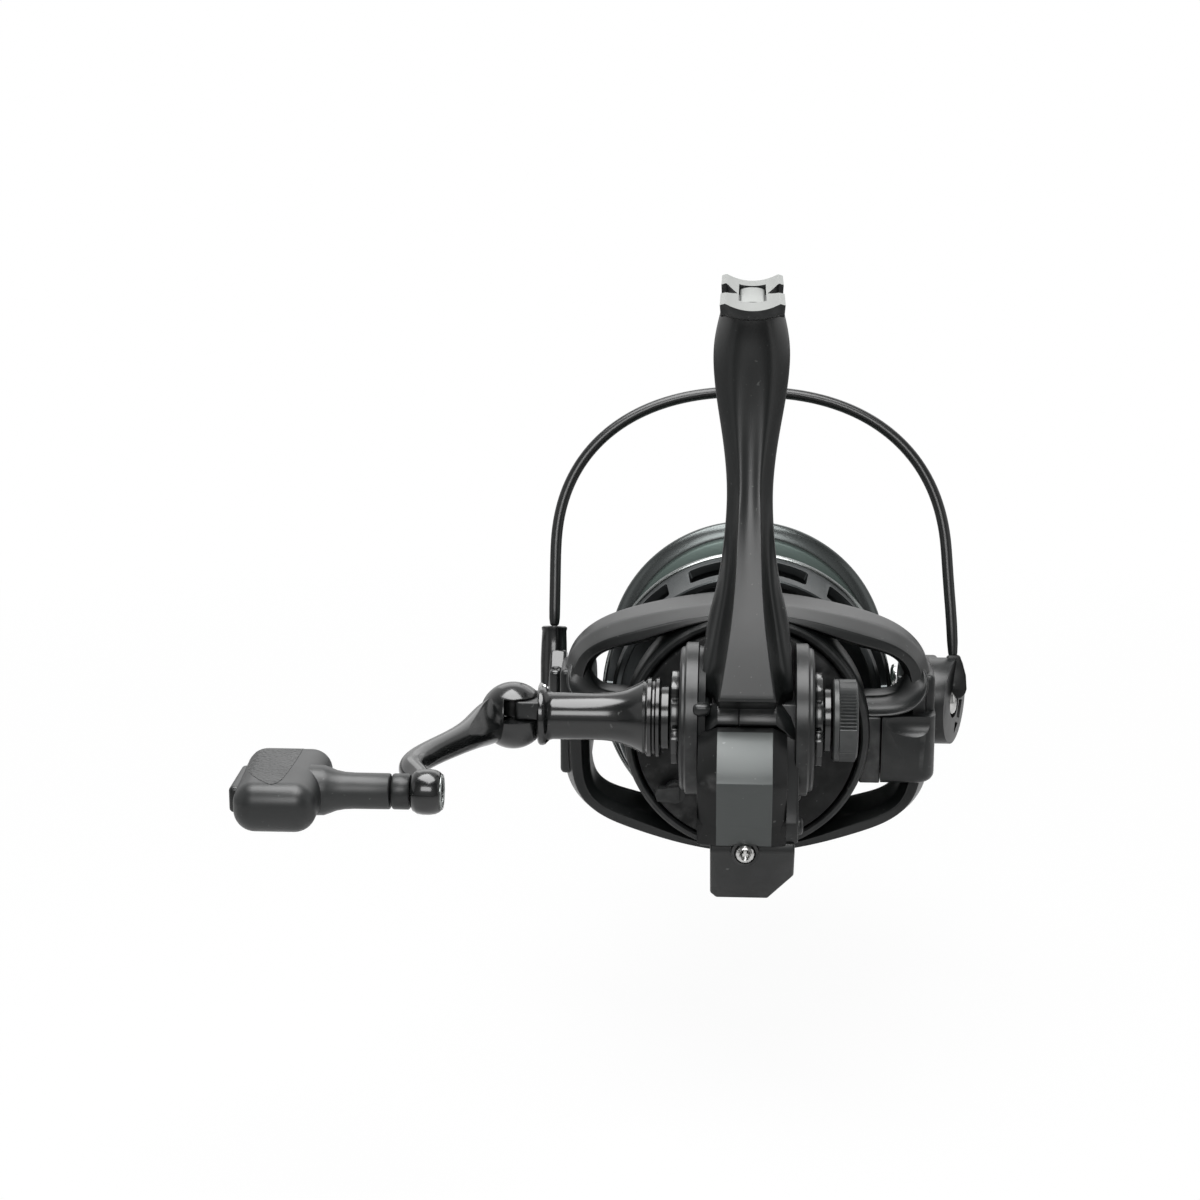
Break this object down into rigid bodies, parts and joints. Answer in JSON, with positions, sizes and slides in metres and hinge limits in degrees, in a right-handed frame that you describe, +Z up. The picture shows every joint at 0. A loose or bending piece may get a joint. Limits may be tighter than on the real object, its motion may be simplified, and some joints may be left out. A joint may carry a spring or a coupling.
{
  "type": "spinning reel",
  "caption": "Black front-drag spinning reel with folding single handle, T knob, wire bail, long-cast spool and a saddle foot for a rod seat.",
  "frame": {"origin": "the flat middle of the saddle on top of the foot, midway along the seat behind the foot's window", "axes": "+Z up out of the foot into the rod, +Y forward along the main shaft to the spool, +X to the side of the screw cap, away from the handle"},
  "size_m": [0.164, 0.1805, 0.1452],
  "materials": {
    "satin_black": "satin black paint",
    "gloss_black": "gloss black paint",
    "wire_black": "satin",
    "black_nylon": "matte",
    "gunmetal": "satin metallic paint",
    "dark_anodised": "anodised satin",
    "bare_aluminium": "sanded",
    "bright_steel": "polished",
    "gear_bronze": "machined",
    "soft_rubber": "matte",
    "drag_felt": "pressed felt"
  },
  "bodies": {
    "frame": {"body_frame": "satin_black", "side_cover": "satin_black", "side_cover_screw_1": "bright_steel", "side_cover_screw_2": "bright_steel", "rear_cover": "gunmetal", "rear_cover_screw": "bright_steel", "foot_insert": "bare_aluminium", "crank_bearing_left": "bright_steel", "crank_bearing_right": "bright_steel", "bearing_retainer_left": "black_nylon", "bearing_retainer_right": "black_nylon", "pinion_bearing": "bright_steel", "one_way_clutch": "bright_steel", "guide_rod": "bright_steel"},
    "crank": {"drive_gear": "gear_bronze", "handle_shank": "gloss_black", "fold_pin": "bright_steel", "cap_collar": "gloss_black", "screw_cap": "black_nylon"},
    "arm": {"handle_arm": "gloss_black", "knob_bolt": "bright_steel", "knob_collar": "black_nylon"},
    "knob": {"knob_grip": "soft_rubber", "knob_cap": "black_nylon"},
    "rotor": {"rotor_frame": "black_nylon", "arm_cover": "black_nylon", "bail_pivot_screw_left": "bright_steel", "bail_pivot_screw_right": "bright_steel", "rotor_nut": "bright_steel", "pinion_gear": "bright_steel"},
    "bail": {"bail_lever": "black_nylon", "bail_arm": "black_nylon", "bail_wire": "wire_black", "roller_screw": "bright_steel"},
    "roller": {"line_roller": "bright_steel"},
    "worm": {"worm_shaft": "bright_steel"},
    "shaft": {"main_shaft": "bright_steel", "crosswind_block": "gear_bronze", "spool_seat": "black_nylon", "drag_washer_keyed": "bright_steel", "drag_plate": "bright_steel"},
    "spool": {"spool_body": "dark_anodised", "spool_skirt": "dark_anodised", "spool_lip": "dark_anodised", "spool_bush": "black_nylon", "line_clip": "bright_steel", "drag_washer_rear": "drag_felt", "drag_washer_front": "drag_felt", "drag_retaining_ring": "bright_steel"},
    "drag_adjuster": {"drag_knob": "satin_black", "drag_knob_cap": "gunmetal"},
    "switch": {"anti_reverse_lever": "black_nylon"}
  },
  "joints": [
    {"name": "crank_spin", "type": "hinge", "parent": "frame", "child": "crank", "pos_m": [0, 0.00175, -0.0966], "axis": [1, 0, 0], "continuous": true},
    {"name": "rotor_spin", "type": "hinge", "parent": "frame", "child": "rotor", "pos_m": [0, 0.02075, -0.1066], "axis": [0, 1, 0], "continuous": true},
    {"name": "worm_spin", "type": "hinge", "parent": "frame", "child": "worm", "pos_m": [0, 0.02075, -0.11801], "axis": [0, 1, 0], "continuous": true},
    {"name": "spool_oscillation", "type": "slide", "parent": "frame", "child": "shaft", "axis": [0, 1, 0], "range_m": [-0.001, 0.018]},
    {"name": "spool_drag_spin", "type": "hinge", "parent": "shaft", "child": "spool", "pos_m": [0, 0.07075, -0.1066], "axis": [0, 1, 0], "continuous": true},
    {"name": "drag_knob_turn", "type": "hinge", "parent": "shaft", "child": "drag_adjuster", "pos_m": [0, 0.10075, -0.1066], "axis": [0, 1, 0], "range_deg": [-360, 720]},
    {"name": "handle_fold", "type": "hinge", "parent": "crank", "child": "arm", "pos_m": [-0.0546, 0.00175, -0.0966], "axis": [0, 0, 1], "range_deg": [-80, 0]},
    {"name": "knob_spin", "type": "hinge", "parent": "arm", "child": "knob", "pos_m": [-0.084, -0.05625, -0.0966], "axis": [1, 0, 0], "continuous": true},
    {"name": "bail_flip", "type": "hinge", "parent": "rotor", "child": "bail", "pos_m": [0, 0.06075, -0.1086], "axis": [1, 0, 0], "range_deg": [-110, 0]},
    {"name": "roller_spin", "type": "hinge", "parent": "bail", "child": "roller", "pos_m": [0.0429, 0.08375, -0.1086], "axis": [1, 0, 0], "continuous": true},
    {"name": "anti_reverse_switch", "type": "hinge", "parent": "frame", "child": "switch", "pos_m": [-0.017, 0.02075, -0.1201], "axis": [0, 1, 0], "range_deg": [0, 30]}
  ],
  "couplings": [
    {"joint": "rotor_spin", "follows": "crank_spin", "ratio": 4.1111},
    {"joint": "worm_spin", "follows": "crank_spin", "ratio": -3.0833}
  ]
}
